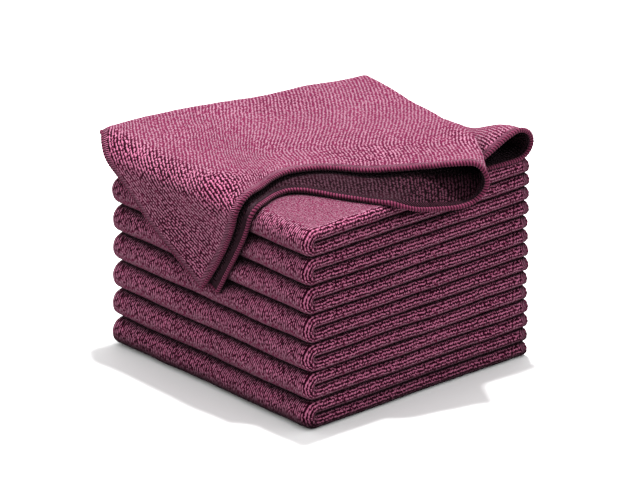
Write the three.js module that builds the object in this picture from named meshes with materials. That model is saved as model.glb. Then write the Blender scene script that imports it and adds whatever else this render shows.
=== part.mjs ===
// A pack of eight quick-dry towels: seven folded in a square stack and one thrown over the top.
// Lengths are in millimetres. The stack stands on z = 0, centred on the origin, with +Z up.
// Each folded towel shows its wrapped fold at -Y and its two round arms at +X.
import * as THREE from 'three';

// Sizes
const stackedTowels = 7;
const foldedSide = 200;
const clothThickness = 3.0;
const layerGap = 0.4167;
const hemThickness = 2.8;
const hemClearance = 0.3;
const innerPanel = 150;

// Colours
const clothColour = 0x8c4a68;
const hemColour = 0x6a2c4a;

// Sizes that follow from the ones above
const layersFolded = 6;
const layer = clothThickness + layerGap;
const towelPitch = layersFolded * layer;
const halfCloth = clothThickness / 2;
const hemRadius = hemThickness / 2;
const hemOffset = hemClearance + hemRadius;
const hemReach = hemOffset + hemRadius;
const half = foldedSide / 2;
const foldedHeight = towelPitch - layerGap;
const stackTop = (stackedTowels - 1) * towelPitch + foldedHeight;

// Rounding of the drape's own scale, so that it follows a larger or smaller stack
const spread = foldedSide / 200;

function smooth(value) {
  const k = Math.min(1, Math.max(0, value));
  return k * k * (3 - 2 * k);
}

function mix(a, b, k) {
  return a + (b - a) * k;
}

// ---------------------------------------------------------------- solids

// A closed body on both sides of a grid of middle points, rows[j][i].
function sheetSolid(rows, halfThickness) {
  const count = rows[0].length;
  const normals = rows.map((row, j) => row.map((point, i) => gridNormal(rows, i, j)));
  const corners = [];
  for (const side of [1, -1]) {
    rows.forEach((row, j) => row.forEach((point, i) => {
      corners.push(point.clone().addScaledVector(normals[j][i], side * halfThickness));
    }));
  }
  const back = rows.length * count;
  const at = (i, j) => j * count + i;
  const faces = [];
  const quad = (a, b, c, d) => faces.push(a, b, c, a, c, d);
  for (let j = 0; j + 1 < rows.length; j += 1) {
    for (let i = 0; i + 1 < count; i += 1) {
      quad(at(i, j), at(i + 1, j), at(i + 1, j + 1), at(i, j + 1));
      quad(back + at(i, j), back + at(i, j + 1), back + at(i + 1, j + 1), back + at(i + 1, j));
    }
  }
  const rim = rimOf(count, rows.length, at);
  rim.forEach((a, n) => {
    const b = rim[(n + 1) % rim.length];
    quad(b, a, back + a, back + b);
  });
  return solidFrom(corners, faces);
}

// The indices round the edge of a grid, in order.
function rimOf(count, length, at) {
  const rim = [];
  for (let i = 0; i < count - 1; i += 1) {
    rim.push(at(i, 0));
  }
  for (let j = 0; j < length - 1; j += 1) {
    rim.push(at(count - 1, j));
  }
  for (let i = count - 1; i > 0; i -= 1) {
    rim.push(at(i, length - 1));
  }
  for (let j = length - 1; j > 0; j -= 1) {
    rim.push(at(0, j));
  }
  return rim;
}

function gridNormal(rows, i, j) {
  const row = rows[j];
  const along = row[Math.min(i + 1, row.length - 1)].clone().sub(row[Math.max(i - 1, 0)]);
  const up = rows[Math.min(j + 1, rows.length - 1)][i].clone().sub(rows[Math.max(j - 1, 0)][i]);
  return along.cross(up).normalize();
}

// A closed ring of thread: round sections on a closed path of {point, normal}.
function ringSolid(path, radius, sides = 6) {
  const corners = [];
  path.forEach((station, n) => {
    const before = path[(n + path.length - 1) % path.length].point;
    const after = path[(n + 1) % path.length].point;
    const along = after.clone().sub(before).normalize();
    const out = along.clone().cross(station.normal).normalize();
    const up = out.clone().cross(along).normalize();
    for (let k = 0; k < sides; k += 1) {
      const angle = (2 * Math.PI * (k + 0.5)) / sides;
      corners.push(station.point.clone()
        .addScaledVector(out, radius * Math.cos(angle))
        .addScaledVector(up, radius * Math.sin(angle)));
    }
  });
  const faces = [];
  path.forEach((station, n) => {
    const here = n * sides;
    const next = ((n + 1) % path.length) * sides;
    for (let k = 0; k < sides; k += 1) {
      const turn = (k + 1) % sides;
      faces.push(here + k, here + turn, next + turn, here + k, next + turn, next + k);
    }
  });
  return solidFrom(corners, faces);
}

// A geometry whose faces point outwards, whichever way they were listed.
function solidFrom(corners, faces) {
  let volume = 0;
  for (let n = 0; n < faces.length; n += 3) {
    const [a, b, c] = [corners[faces[n]], corners[faces[n + 1]], corners[faces[n + 2]]];
    volume += a.dot(b.clone().cross(c));
  }
  if (volume < 0) {
    for (let n = 0; n < faces.length; n += 3) {
      [faces[n], faces[n + 1]] = [faces[n + 1], faces[n]];
    }
  }
  const geometry = new THREE.BufferGeometry();
  geometry.setFromPoints(corners);
  geometry.setIndex(faces);
  geometry.computeVertexNormals();
  return geometry;
}

// ---------------------------------------------------------------- folded towels

// Thirds: the towel's long way is folded in three. Runs of the section, end to end.
const rightTurn = half - layer - halfCloth;
const leftTurn = -half + layer / 2 + halfCloth;
const middlePanel = rightTurn - leftTurn;
const outerPanel = rightTurn + half - hemReach;
const leftArc = (Math.PI * layer) / 2;
const rightArc = Math.PI * layer;
const clothLength = innerPanel + leftArc + middlePanel + rightArc + outerPanel;

// Half: the strip is then folded in two across its width.
const wrapRadius = 1.5 * layer;
const wrapTurn = -half + wrapRadius + layer + halfCloth;
const armLength = half - hemReach - wrapTurn;
const wrapArc = Math.PI * wrapRadius;
const clothWidth = 2 * armLength + wrapArc;

// Where a distance u along the three panels lies in the section, with its direction of thickness.
function thirds(u) {
  const afterLeft = u - innerPanel - leftArc;
  const afterRight = afterLeft - middlePanel - rightArc;
  if (u <= innerPanel) {
    return { x: leftTurn + innerPanel - u, w: 0, nx: 0, nw: 1 };
  }
  if (afterLeft <= 0) {
    const angle = (u - innerPanel) / (layer / 2);
    return {
      x: leftTurn - (layer / 2) * Math.sin(angle),
      w: -layer / 2 + (layer / 2) * Math.cos(angle),
      nx: -Math.sin(angle),
      nw: Math.cos(angle),
    };
  }
  if (afterLeft <= middlePanel) {
    return { x: leftTurn + afterLeft, w: -layer, nx: 0, nw: -1 };
  }
  if (afterRight <= 0) {
    const angle = (afterLeft - middlePanel) / layer;
    return {
      x: rightTurn + layer * Math.sin(angle),
      w: -layer * Math.cos(angle),
      nx: Math.sin(angle),
      nw: -Math.cos(angle),
    };
  }
  return { x: rightTurn - afterRight, w: layer, nx: 0, nw: 1 };
}

// Where a distance v across the strip lies once it is wrapped round the fold at -Y.
function wrapped(v) {
  const afterArm = v - armLength;
  if (afterArm <= 0) {
    return { y: wrapTurn + armLength - v, z: -wrapRadius, ny: 0, nz: 1 };
  }
  if (afterArm <= wrapArc) {
    const angle = afterArm / wrapRadius;
    return {
      y: wrapTurn - wrapRadius * Math.sin(angle),
      z: -wrapRadius * Math.cos(angle),
      ny: Math.sin(angle),
      nz: Math.cos(angle),
    };
  }
  return { y: wrapTurn + afterArm - wrapArc, z: wrapRadius, ny: 0, nz: -1 };
}

// A point of the flat towel (u along, v across) in its folded place, for one towel of the stack.
function foldedPoint(u, v, middleHeight) {
  const section = thirds(u);
  const strip = wrapped(v);
  const point = new THREE.Vector3(
    section.x,
    strip.y + strip.ny * section.w,
    middleHeight + strip.z + strip.nz * section.w,
  );
  const normal = new THREE.Vector3(section.nx, strip.ny * section.nw, strip.nz * section.nw);
  return { point, normal };
}

function stations(from, to, pieces) {
  return Array.from({ length: pieces }, (unused, n) => from + ((to - from) * n) / pieces);
}

// Distances at which the section and the strip need a row of points.
const uStations = [
  ...stations(0, innerPanel, 1),
  ...stations(innerPanel, innerPanel + leftArc, 6),
  ...stations(innerPanel + leftArc, innerPanel + leftArc + middlePanel, 1),
  ...stations(clothLength - outerPanel - rightArc, clothLength - outerPanel, 8),
  ...stations(clothLength - outerPanel, clothLength, 1),
  clothLength,
];
const vStations = [
  ...stations(0, armLength, 1),
  ...stations(armLength, armLength + wrapArc, 10),
  ...stations(armLength + wrapArc, clothWidth, 1),
  clothWidth,
];

function foldedCloth(middleHeight) {
  const rows = vStations.map((v) => uStations.map((u) => foldedPoint(u, v, middleHeight).point));
  return sheetSolid(rows, halfCloth);
}

// The overlocked edge: all round the flat towel, just outside its cut edge.
function foldedHem(middleHeight) {
  const outline = [];
  const corner = (u, v, first) => {
    for (let n = 0; n <= 3; n += 1) {
      const angle = ((first + n / 3) * Math.PI) / 2;
      outline.push([u + hemOffset * Math.cos(angle), v + hemOffset * Math.sin(angle)]);
    }
  };
  const inner = (list) => list.slice(1, -1);
  corner(0, 0, 2);
  inner(uStations).forEach((u) => outline.push([u, -hemOffset]));
  corner(clothLength, 0, 3);
  inner(vStations).forEach((v) => outline.push([clothLength + hemOffset, v]));
  corner(clothLength, clothWidth, 0);
  inner(uStations).reverse().forEach((u) => outline.push([u, clothWidth + hemOffset]));
  corner(0, clothWidth, 1);
  inner(vStations).reverse().forEach((v) => outline.push([-hemOffset, v]));
  return ringSolid(outline.map(([u, v]) => foldedPoint(u, v, middleHeight)), hemRadius);
}

// ---------------------------------------------------------------- draped towel

// It is folded in two, then loosely in two again, and its free corner hangs over the -Y edge.
// Its lines are given as [x, q, lift]: q runs from the -Y edge over the top of the stack (and,
// below nought, over the edge and down), and lift is extra height over the layers beneath.
const edgeRadius = foldedHeight / 3;
const edgeY = -half + edgeRadius;
const edgeArc = (Math.PI * 16) / 2;
const firstLayer = layerGap + halfCloth + 0.3;
const looseness = 1.2;
const drapedHalf = halfCloth * 0.85;
const drapedHemRadius = hemRadius * 0.85;

function overEdge(x, q, height) {
  const reach = edgeRadius + height;
  if (q >= 0) {
    return new THREE.Vector3(x, edgeY + q, stackTop + height);
  }
  if (q > -edgeArc) {
    const angle = ((-q / edgeArc) * Math.PI) / 2;
    const y = edgeY - reach * Math.sin(angle);
    return new THREE.Vector3(x, y, stackTop - edgeRadius + reach * Math.cos(angle));
  }
  return new THREE.Vector3(x, edgeY - reach, stackTop - edgeRadius + q + edgeArc);
}

const upperHemLine = [
  [3, -85, 0], [28, -46, 0], [40, -10, 3], [29, 32, 0.5], [41, 61, 0.5], [65, 78, 1],
  [88, 100, 0], [109, 118, 0], [122, 134, -1],
];
const lowerHemLine = [
  [13, -86, 0], [41, -37, 0], [47, -7, 0], [39, 22, 0], [47, 38, 0], [76, 54, 0],
  [103, 72, 0], [114, 104, 0], [122, 134, -1],
];
const sideHemLine = [
  [3, -85, 0], [-31, -65, 0], [-63, -44, 0], [-92, -21, 1], [-107, -7, 5],
];
const lowerSideLine = [
  [13, -86, 0], [-24, -64, -0.5], [-56, -42, -1.5], [-84, -15, -1.5], [-101, -1, 2.5],
];
const frontFoldLine = [
  [122, 134, -1], [88, 154, 2], [54, 164, 3], [20, 172, 3], [-15, 179, 3], [-52, 184, 4],
];
const backFoldLine = [
  [-107, -7, 5], [-104, 28, 4], [-94, 60, 3], [-83, 92, 3], [-72, 124, 3], [-62, 155, 4],
  [-52, 184, 4],
];
const hiddenHemLine = [
  [-4, 6, 0], [2, 22, 0], [12, 42, 0], [30, 63, 0], [52, 83, 0], [72, 106, 0], [85, 136, 0],
  [92, 168, 0], [97, 196, 0],
];
const hiddenSideLine = [
  [-4, 6, 0], [-38, 8, 0], [-72, 9, 0], [-106, 10, 0],
];
const rightFoldLine = [
  [97, 196, 0], [60, 192, 0], [20, 189, 0], [-16, 187, 0], [-52, 184, 0],
];

// A smooth line through evenly numbered points, k from 0 to 1.
function lineThrough(points) {
  const last = points.length - 1;
  return (k) => {
    const place = Math.min(Math.max(k, 0), 1) * last;
    const n = Math.min(Math.floor(place), last - 1);
    const f = place - n;
    const [b, c] = [points[n], points[n + 1]];
    const a = n > 0 ? points[n - 1] : b.map((value, i) => 2 * value - c[i]);
    const d = n + 2 <= last ? points[n + 2] : c.map((value, i) => 2 * value - b[i]);
    return b.map((value, i) => 0.5 * (2 * value + (c[i] - a[i]) * f
      + (2 * a[i] - 5 * value + 4 * c[i] - d[i]) * f * f
      + (3 * value - a[i] - 3 * c[i] + d[i]) * f * f * f));
  };
}

// A patch between four lines: front and back run with s, left and right run with t.
function patch(front, back, left, right) {
  const [f, b, l, r] = [front, back, left, right].map(lineThrough);
  return (s, t) => {
    const corners = [f(0), f(1), b(0), b(1)];
    const values = f(s).map((value, i) => (1 - t) * value + t * b(s)[i]
      + (1 - s) * l(t)[i] + s * r(t)[i]
      - (1 - t) * ((1 - s) * corners[0][i] + s * corners[1][i])
      - t * ((1 - s) * corners[2][i] + s * corners[3][i]));
    return [values[0] * spread, values[1] * spread, values[2]];
  };
}

const upperPatch = patch(upperHemLine, backFoldLine, sideHemLine, frontFoldLine);
const lowerPatch = patch(lowerHemLine, backFoldLine, lowerSideLine, frontFoldLine);
const hiddenPatch = patch(hiddenHemLine, backFoldLine, hiddenSideLine, rightFoldLine);

// How far inside the hidden half a place on the stack lies. Its hem is taken to run on straight.
function insideHidden(x, q) {
  const line = lineThrough(hiddenHemLine);
  const pieces = 24;
  let nearest = Infinity;
  let side = 1;
  for (let n = 0; n < pieces; n += 1) {
    const a = line(n / pieces).map((value) => value * spread);
    const b = line((n + 1) / pieces).map((value) => value * spread);
    const run = [b[0] - a[0], b[1] - a[1]];
    const size = run[0] * run[0] + run[1] * run[1];
    const along = ((x - a[0]) * run[0] + (q - a[1]) * run[1]) / size;
    const low = n === 0 ? -Infinity : 0;
    const high = n === pieces - 1 ? Infinity : 1;
    const k = Math.min(high, Math.max(low, along));
    const gap = Math.hypot(x - a[0] - run[0] * k, q - a[1] - run[1] * k);
    if (gap < nearest) {
      nearest = gap;
      side = run[0] * (q - a[1]) - run[1] * (x - a[0]) > 0 ? 1 : -1;
    }
  }
  return nearest * side;
}

// Middle heights of the layers over the stack.
function hiddenTop(x, q) {
  const rise = smooth((q - 140 * spread) / (45 * spread)) * smooth((x - 40 * spread) / (50 * spread));
  return firstLayer + layer + 15.5 * rise;
}

function coveredShare(x, q) {
  return smooth((insideHidden(x, q) + 27) / 23);
}

function lowerHeight(x, q) {
  const covered = coveredShare(x, q);
  const droop = 10 * smooth((x - 98 * spread) / (20 * spread)) * (1 - covered);
  return mix(firstLayer, hiddenTop(x, q) + layer + looseness, covered) - droop;
}

function upperHeight(x, q) {
  const covered = coveredShare(x, q);
  const open = 12.5 * smooth((x - 58 * spread) / (50 * spread)) * (1 - covered);
  return mix(firstLayer, hiddenTop(x, q) + layer + looseness, covered) + layer + looseness + open;
}

// How open the folded edge is: nought at the edge itself, one past the turn.
function roundOff(distance, turn) {
  const k = Math.min(1, distance / turn);
  return Math.sqrt(Math.max(0, 1 - (1 - k) * (1 - k)));
}

const turnSteps = 7;
const flatSteps = 18;
const upperSteps = 25;
const backTurnSteps = 8;
const lowerSteps = 11;

// Places across one layer, from the free side (nought) to the folded edge (one).
function acrossStations(width, turn) {
  const edge = turn / width;
  const flat = stations(0, 1, flatSteps).map((k) => (1 - edge) * k ** 1.3);
  const bend = Array.from({ length: turnSteps + 1 }, (unused, n) => {
    const angle = (Math.PI / 2) * (n / turnSteps);
    return 1 - edge * (1 - Math.sin(angle));
  });
  return [...flat, ...bend];
}

// One place on the sheet before it turns over the back fold: [x, q, height].
function layerPlace(part, top, s, t, width, turn) {
  const edge = roundOff((1 - s) * width, turn);
  if (part === 'upper') {
    const u = upperPatch(s, t);
    const l = lowerPatch(s, t);
    const high = upperHeight(u[0], u[1]) + u[2];
    const low = lowerHeight(l[0], l[1]) + l[2];
    const own = top ? u : l;
    const middle = (high + low) / 2;
    return [own[0], own[1], middle + (top ? 1 : -1) * edge * ((high - low) / 2)];
  }
  const place = hiddenPatch(s, t);
  const high = hiddenTop(place[0], place[1]);
  const middle = (high + firstLayer) / 2;
  return [place[0], place[1], middle + (top ? 1 : -1) * edge * ((high - firstLayer) / 2)];
}

// One line of the sheet, from its front hem over the top, round the back fold and under.
function sheetLine(outer, s) {
  const width = 210 * spread;
  const turn = mixTurn(1);
  const places = [];
  for (let n = 0; n < upperSteps; n += 1) {
    const t = n / upperSteps;
    places.push(layerPlace('upper', outer, s, t, width, mixTurn(t)));
  }
  const above = layerPlace('upper', outer, s, 1, width, turn);
  const below = layerPlace('hidden', !outer, s, 1, width, turn);
  const away = backDirection(s);
  for (let n = 0; n <= backTurnSteps; n += 1) {
    const angle = (Math.PI * n) / backTurnSteps;
    const k = (1 - Math.cos(angle)) / 2;
    const reach = ((above[2] - below[2]) / 2) * Math.sin(angle);
    places.push([
      mix(above[0], below[0], k) + away[0] * reach,
      mix(above[1], below[1], k) + away[1] * reach,
      mix(above[2], below[2], k),
    ]);
  }
  for (let n = 1; n <= lowerSteps; n += 1) {
    const t = 1 - n / lowerSteps;
    places.push(layerPlace('hidden', !outer, s, t, width, hiddenTurn(t)));
  }
  return places.map(([x, q, height]) => overEdge(x, q, height));
}

function mixTurn(t) {
  return mix(15, 4, smooth(t / 0.6)) * spread;
}

function hiddenTurn(t) {
  return mix(12, 4, smooth(t / 0.6)) * spread;
}

function backDirection(s) {
  const line = lineThrough(backFoldLine);
  const a = line(Math.max(0, s - 0.02));
  const b = line(Math.min(1, s + 0.02));
  const run = Math.hypot(b[0] - a[0], b[1] - a[1]);
  return [-(b[1] - a[1]) / run, (b[0] - a[0]) / run];
}

function drapedRows() {
  const across = acrossStations(210 * spread, 15 * spread);
  const outer = across.map((s) => sheetLine(true, s));
  const inner = across.map((s) => sheetLine(false, s)).reverse().slice(1);
  const columns = [...outer, ...inner];
  return columns[0].map((unused, j) => columns.map((column) => column[j]));
}

// The overlocked edge of the draped towel, just outside the rim of its sheet.
function drapedHem(rows) {
  const lastI = rows[0].length - 1;
  const lastJ = rows.length - 1;
  const rim = rimOf(lastI + 1, lastJ + 1, (i, j) => [i, j]);
  const path = [];
  rim.forEach(([i, j], n) => {
    const normal = gridNormal(rows, i, j);
    const outs = [];
    if (i === 0 || i === lastI) {
      const run = rows[Math.min(j + 1, lastJ)][i].clone().sub(rows[Math.max(j - 1, 0)][i]);
      outs.push(awayFrom(rows[j][i], rows[j][i === 0 ? 1 : lastI - 1], run, normal));
    }
    if (j === 0 || j === lastJ) {
      const run = rows[j][Math.min(i + 1, lastI)].clone().sub(rows[j][Math.max(i - 1, 0)]);
      outs.push(awayFrom(rows[j][i], rows[j === 0 ? 1 : lastJ - 1][i], run, normal));
    }
    if (outs.length === 2) {
      const comesAlongSide = rim[(n + rim.length - 1) % rim.length][0] === i;
      const [first, second] = comesAlongSide ? outs : [outs[1], outs[0]];
      outs.splice(0, 2, first, first.clone().add(second).normalize(), second);
    }
    outs.forEach((out) => {
      path.push({ point: rows[j][i].clone().addScaledVector(out, hemOffset), normal });
    });
  });
  return ringSolid(path, drapedHemRadius);
}

// The direction square to an edge, in the sheet, that leads away from its inside.
function awayFrom(point, inside, run, normal) {
  const out = run.clone().cross(normal).normalize();
  return out.dot(point.clone().sub(inside)) < 0 ? out.negate() : out;
}

// ---------------------------------------------------------------- assembly

function addPiece(group, name, geometry, colour) {
  const material = new THREE.MeshStandardMaterial({ color: colour, roughness: 0.95 });
  const mesh = new THREE.Mesh(geometry, material);
  mesh.name = name;
  group.add(mesh);
}

const towels = new THREE.Group();
towels.name = 'quick_dry_towels';
for (let n = 0; n < stackedTowels; n += 1) {
  const middleHeight = n * towelPitch + foldedHeight / 2;
  addPiece(towels, `towel_${n + 1}_cloth`, foldedCloth(middleHeight), clothColour);
  addPiece(towels, `towel_${n + 1}_hem`, foldedHem(middleHeight), hemColour);
}
const drape = drapedRows();
addPiece(towels, 'draped_towel_cloth', sheetSolid(drape, drapedHalf), clothColour);
addPiece(towels, 'draped_towel_hem', drapedHem(drape), hemColour);

export default towels;
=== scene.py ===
import math

import bpy
import numpy as np
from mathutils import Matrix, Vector


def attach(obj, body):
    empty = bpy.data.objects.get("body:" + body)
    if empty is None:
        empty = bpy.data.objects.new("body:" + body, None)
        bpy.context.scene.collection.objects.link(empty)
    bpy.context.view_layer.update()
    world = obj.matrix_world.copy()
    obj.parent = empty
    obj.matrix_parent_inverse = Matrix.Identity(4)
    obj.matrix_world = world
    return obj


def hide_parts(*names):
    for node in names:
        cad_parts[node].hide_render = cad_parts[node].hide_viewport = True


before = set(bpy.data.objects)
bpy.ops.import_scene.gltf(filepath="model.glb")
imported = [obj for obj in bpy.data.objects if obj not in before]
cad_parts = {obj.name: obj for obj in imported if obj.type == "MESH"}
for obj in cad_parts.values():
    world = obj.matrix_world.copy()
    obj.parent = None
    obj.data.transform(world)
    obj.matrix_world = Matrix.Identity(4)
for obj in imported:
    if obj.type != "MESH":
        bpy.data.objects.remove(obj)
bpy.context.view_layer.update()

MM = 0.001

# ------------------------------------------------------------------ sizes, in millimetres

STACKED_TOWELS = 7
FOLDED_SIDE = 200.0
CLOTH_THICKNESS = 3.0
LAYER_GAP = 0.4167
HEM_THICKNESS = 2.8
HEM_CLEARANCE = 0.3
INNER_PANEL = 150.0

LAYER = CLOTH_THICKNESS + LAYER_GAP
TOWEL_PITCH = 6 * LAYER
HALF_CLOTH = CLOTH_THICKNESS / 2
HEM_REACH = HEM_CLEARANCE + HEM_THICKNESS
HALF = FOLDED_SIDE / 2
FOLDED_HEIGHT = TOWEL_PITCH - LAYER_GAP
STACK_TOP = (STACKED_TOWELS - 1) * TOWEL_PITCH + FOLDED_HEIGHT

RIGHT_TURN = HALF - LAYER - HALF_CLOTH
LEFT_TURN = -HALF + LAYER / 2 + HALF_CLOTH
MIDDLE_PANEL = RIGHT_TURN - LEFT_TURN
OUTER_PANEL = RIGHT_TURN + HALF - HEM_REACH
LEFT_ARC = math.pi * LAYER / 2
RIGHT_ARC = math.pi * LAYER
CLOTH_LENGTH = INNER_PANEL + LEFT_ARC + MIDDLE_PANEL + RIGHT_ARC + OUTER_PANEL

WRAP_RADIUS = 1.5 * LAYER
WRAP_TURN = -HALF + WRAP_RADIUS + LAYER + HALF_CLOTH
ARM_LENGTH = HALF - HEM_REACH - WRAP_TURN
WRAP_ARC = math.pi * WRAP_RADIUS
CLOTH_WIDTH = 2 * ARM_LENGTH + WRAP_ARC

VISIBLE_THICKNESS = 3.0
HEM_STITCH_PITCH = 2.1
# The wound hem: points round the rope and along each stitch, stitch length and half sizes.
FOLDED_HEM = {"sides": 8, "samples_per_stitch": 4, "stitch": 2.4,
              "half_width": 1.7, "half_depth": 1.62}
DRAPED_HEM = {"sides": 10, "samples_per_stitch": 5, "stitch": HEM_STITCH_PITCH,
              "half_width": 1.6, "half_depth": 1.75}
# How far the middle of the hem stands out from the cut edge.
FOLDED_HEM_OUT = 0.7
DRAPED_HEM_OUT = 0.6
# Size of the rope between two turns of the thread, how much it swells in a turn, how round
# the turns are, and the radius its pattern is laid out with.
ROPE_WAIST = 0.80
ROPE_SWELL = 0.26
ROPE_ROUNDNESS = 0.8
ROPE_RADIUS = 1.8

# Unevenness of the cloth, from broad to fine: wavelength, amount, number of waves.
UNEVENNESS = ((75.0, 0.55, 5), (28.0, 0.28, 6), (9.0, 0.13, 7))
WAVELENGTH_SPREAD = (0.8, 1.3)
UNEVENNESS_GAIN = 1.4
# Pressed layers shift in height by only this share, and the draped towel along X, Y and Z by
# these.
PRESSED_HEIGHT_SHARE = 0.35
DRAPED_UNEVENNESS = np.array([0.7, 0.7, 0.45])
FOLDED_SEED = 40
DRAPED_SEED = 77

# The stack sinks toward its far corner by this share of its height.
FAR_CORNER_SAG = 0.032


def smooth(value):
    k = np.clip(value, 0.0, 1.0)
    return k * k * (3 - 2 * k)


def fade(value, start, length):
    """Rises smoothly from 0 at start to 1 that length further on."""
    return smooth((value - start) / length)


def mix(a, b, k):
    return a + (b - a) * k


# ------------------------------------------------------------------ the folded towel

def thirds(u):
    """Section of the towel folded in three: place (x, w) and direction of thickness (nx, nw)."""
    u = np.asarray(u, dtype=float)
    after_left = u - INNER_PANEL - LEFT_ARC
    after_right = after_left - MIDDLE_PANEL - RIGHT_ARC
    left_angle = np.clip((u - INNER_PANEL) / (LAYER / 2), 0, math.pi)
    right_angle = np.clip((after_left - MIDDLE_PANEL) / LAYER, 0, math.pi)
    x = LEFT_TURN + np.clip(INNER_PANEL - u, 0, None) - (LAYER / 2) * np.sin(left_angle)
    x = x + np.clip(after_left, 0, MIDDLE_PANEL) + LAYER * np.sin(right_angle)
    x = x - np.clip(after_right, 0, None)
    w = -LAYER / 2 + (LAYER / 2) * np.cos(left_angle)
    w = w + LAYER - LAYER * np.cos(right_angle)
    nx = np.where(after_left <= 0, -np.sin(left_angle), np.sin(right_angle))
    nw = np.where(after_left <= 0, np.cos(left_angle), -np.cos(right_angle))
    return x, w, nx, nw


def wrapped(v):
    """The strip laid in half round the fold at -Y: place (y, z) and direction (ny, nz)."""
    v = np.asarray(v, dtype=float)
    after_arm = v - ARM_LENGTH
    angle = np.clip(after_arm / WRAP_RADIUS, 0, math.pi)
    y = WRAP_TURN + np.clip(ARM_LENGTH - v, 0, None) - WRAP_RADIUS * np.sin(angle)
    y = y + np.clip(after_arm - WRAP_ARC, 0, None)
    z = -WRAP_RADIUS * np.cos(angle)
    return y, z, np.sin(angle), np.cos(angle)


def softness(x, y, z, draw):
    """Slight unevenness of soft, hand-folded cloth: a smooth field of shifts, in millimetres."""
    shift = np.zeros(x.shape + (3,))
    for size, amount, count in UNEVENNESS:
        for _ in range(count):
            way = draw.normal(size=3)
            way = way / np.linalg.norm(way) * (
                2 * math.pi / (size * draw.uniform(*WAVELENGTH_SPREAD)))
            lean = draw.normal(size=3)
            lean = lean / np.linalg.norm(lean) * amount / math.sqrt(count) * UNEVENNESS_GAIN
            wave = np.sin(x * way[0] + y * way[1] + z * way[2] + draw.uniform(0, 2 * math.pi))
            shift = shift + wave[..., None] * lean
    return shift


def folded_place(u, v, middle_height):
    """Place in space, and direction of thickness, of a point of a folded towel's flat cloth."""
    x, w, nx, nw = thirds(u)
    y, z, ny, nz = wrapped(v)
    place = np.stack([x, y + ny * w, middle_height + z + nz * w], axis=-1)
    out = np.stack([nx, ny * nw, nz * nw], axis=-1)
    return place, out


def runs(*lengths_and_steps):
    """Distances along the cloth, closer together where it turns."""
    places = [0.0]
    for length, steps in lengths_and_steps:
        start = places[-1]
        places.extend(start + length * (n + 1) / steps for n in range(steps))
    return np.array(places)


# ------------------------------------------------------------------ the draped towel
# Its lines run [x, q, lift]: q goes from the -Y edge over the top of the stack and, below
# nought, over the edge and down; lift is extra height over the layers beneath.

EDGE_RADIUS = FOLDED_HEIGHT / 3
EDGE_Y = -HALF + EDGE_RADIUS
EDGE_BEND = 16.0
EDGE_ARC = math.pi * EDGE_BEND / 2
DRAPE_WIDTH = 210.0
# Heights over the stack of the lowest pressed sheet and of a sheet that lies free, and the
# steps between two pressed sheets and between the upper two.
PRESSED_CLOTH = 1.5
PRESSED_CLEARANCE = 0.25
FREE_CLEARANCE = 0.3
LOWEST_SHEET = LAYER_GAP + PRESSED_CLOTH / 2 + PRESSED_CLEARANCE
FREE_SHEET = LAYER_GAP + HALF_CLOTH + FREE_CLEARANCE
PRESSED_STEP = 1.9
COVER_CLEARANCE = 0.4
UPPER_STEP = 3.9

# The upper half rises over the hidden one: (start, length) of each fade, by how far inside
# the hidden half a place lies, and by q.
COVER_INSIDE = (-27, 23)
COVER_OVER_EDGE = (-48, 50)
# The tucked slack lifts the sheets over it, from these starts along q + TUCK_SLANT * x.
TUCK_SLANT = 0.25
TUCK_FADE = 34
HIDDEN_TUCK_START, HIDDEN_TUCK_RISE = 95, 3.3
UPPER_TUCK_START, UPPER_TUCK_RISE = 75, 2.1
# The loop at the far right stands up, by (start, length) along q and x.
RIGHT_LOOP_Q, RIGHT_LOOP_X, RIGHT_LOOP_RISE = (140, 45), (40, 50), 16.0
# The front loop opens toward +X, and its lower sheet droops past the side of the stack.
FRONT_LOOP_X, FRONT_LOOP_RISE = (58, 50), 12.5
PAST_SIDE_X, PAST_SIDE_DROOP = (98, 20), 10
FAR_CORNER_FADE = (45, 150)

# The slack pushed in between the sheets: the part of the fold's turn that goes in, how deep
# it goes, and (start, length) of its growth along t.
TUCK_REACH, TUCK_EDGE_FADE = 0.72, 0.5
UPPER_TUCK_DEPTH, UPPER_TUCK_T = 72.0, (0.38, 0.75)
HIDDEN_TUCK_DEPTH, HIDDEN_TUCK_T = 80.0, (0.08, 0.45)
# Widths of the fold's round turn at the hem end and at the far end.
FRONT_TURN_WIDTHS = (15.0, 4.0)
HIDDEN_TURN_WIDTHS = (12.0, 4.0)
TURN_T = (0, 0.6)

UPPER_HEM_LINE = [
    [3, -85, 0], [28, -46, 0], [40, -10, 3], [29, 32, 0.5], [41, 61, 0.5], [65, 78, 1],
    [88, 100, 0], [109, 118, 1], [122, 134, 1]]
LOWER_HEM_LINE = [
    [13, -86, 0], [41, -37, 0], [47, -7, 0], [39, 22, 0], [47, 38, 0], [76, 54, 0],
    [103, 72, 0], [114, 104, 0], [122, 134, 1]]
SIDE_HEM_LINE = [[3, -85, 0], [-31, -65, 0], [-63, -44, 0], [-88, -23, 1], [-104, -7, 2]]
LOWER_SIDE_LINE = [
    [13, -86, 0], [-24, -64, -0.5], [-56, -42, -1.5], [-84, -15, -1.5], [-101, -1, 2.5]]
FRONT_FOLD_LINE = [
    [122, 134, 1], [88, 154, 4], [54, 164, 4], [20, 172, 2], [-15, 179, 2.5], [-52, 184, 5]]
BACK_FOLD_LINE = [
    [-104, -7, 2], [-102, 28, 2], [-94, 60, 3], [-83, 92, 3.5], [-72, 124, 2.5], [-62, 155, 2.5],
    [-52, 184, 5]]
HIDDEN_HEM_LINE = [
    [4, 0, 0], [11, 17, 0], [20, 37, 0], [38, 58, 0], [59, 77, 0], [79, 101, 0],
    [92, 133, 0], [97, 166, 0], [98, 196, 0]]
HIDDEN_SIDE_LINE = [[4, 0, 0], [-36, 1, 0], [-72, 3, 0], [-107, 5, 0]]
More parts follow.
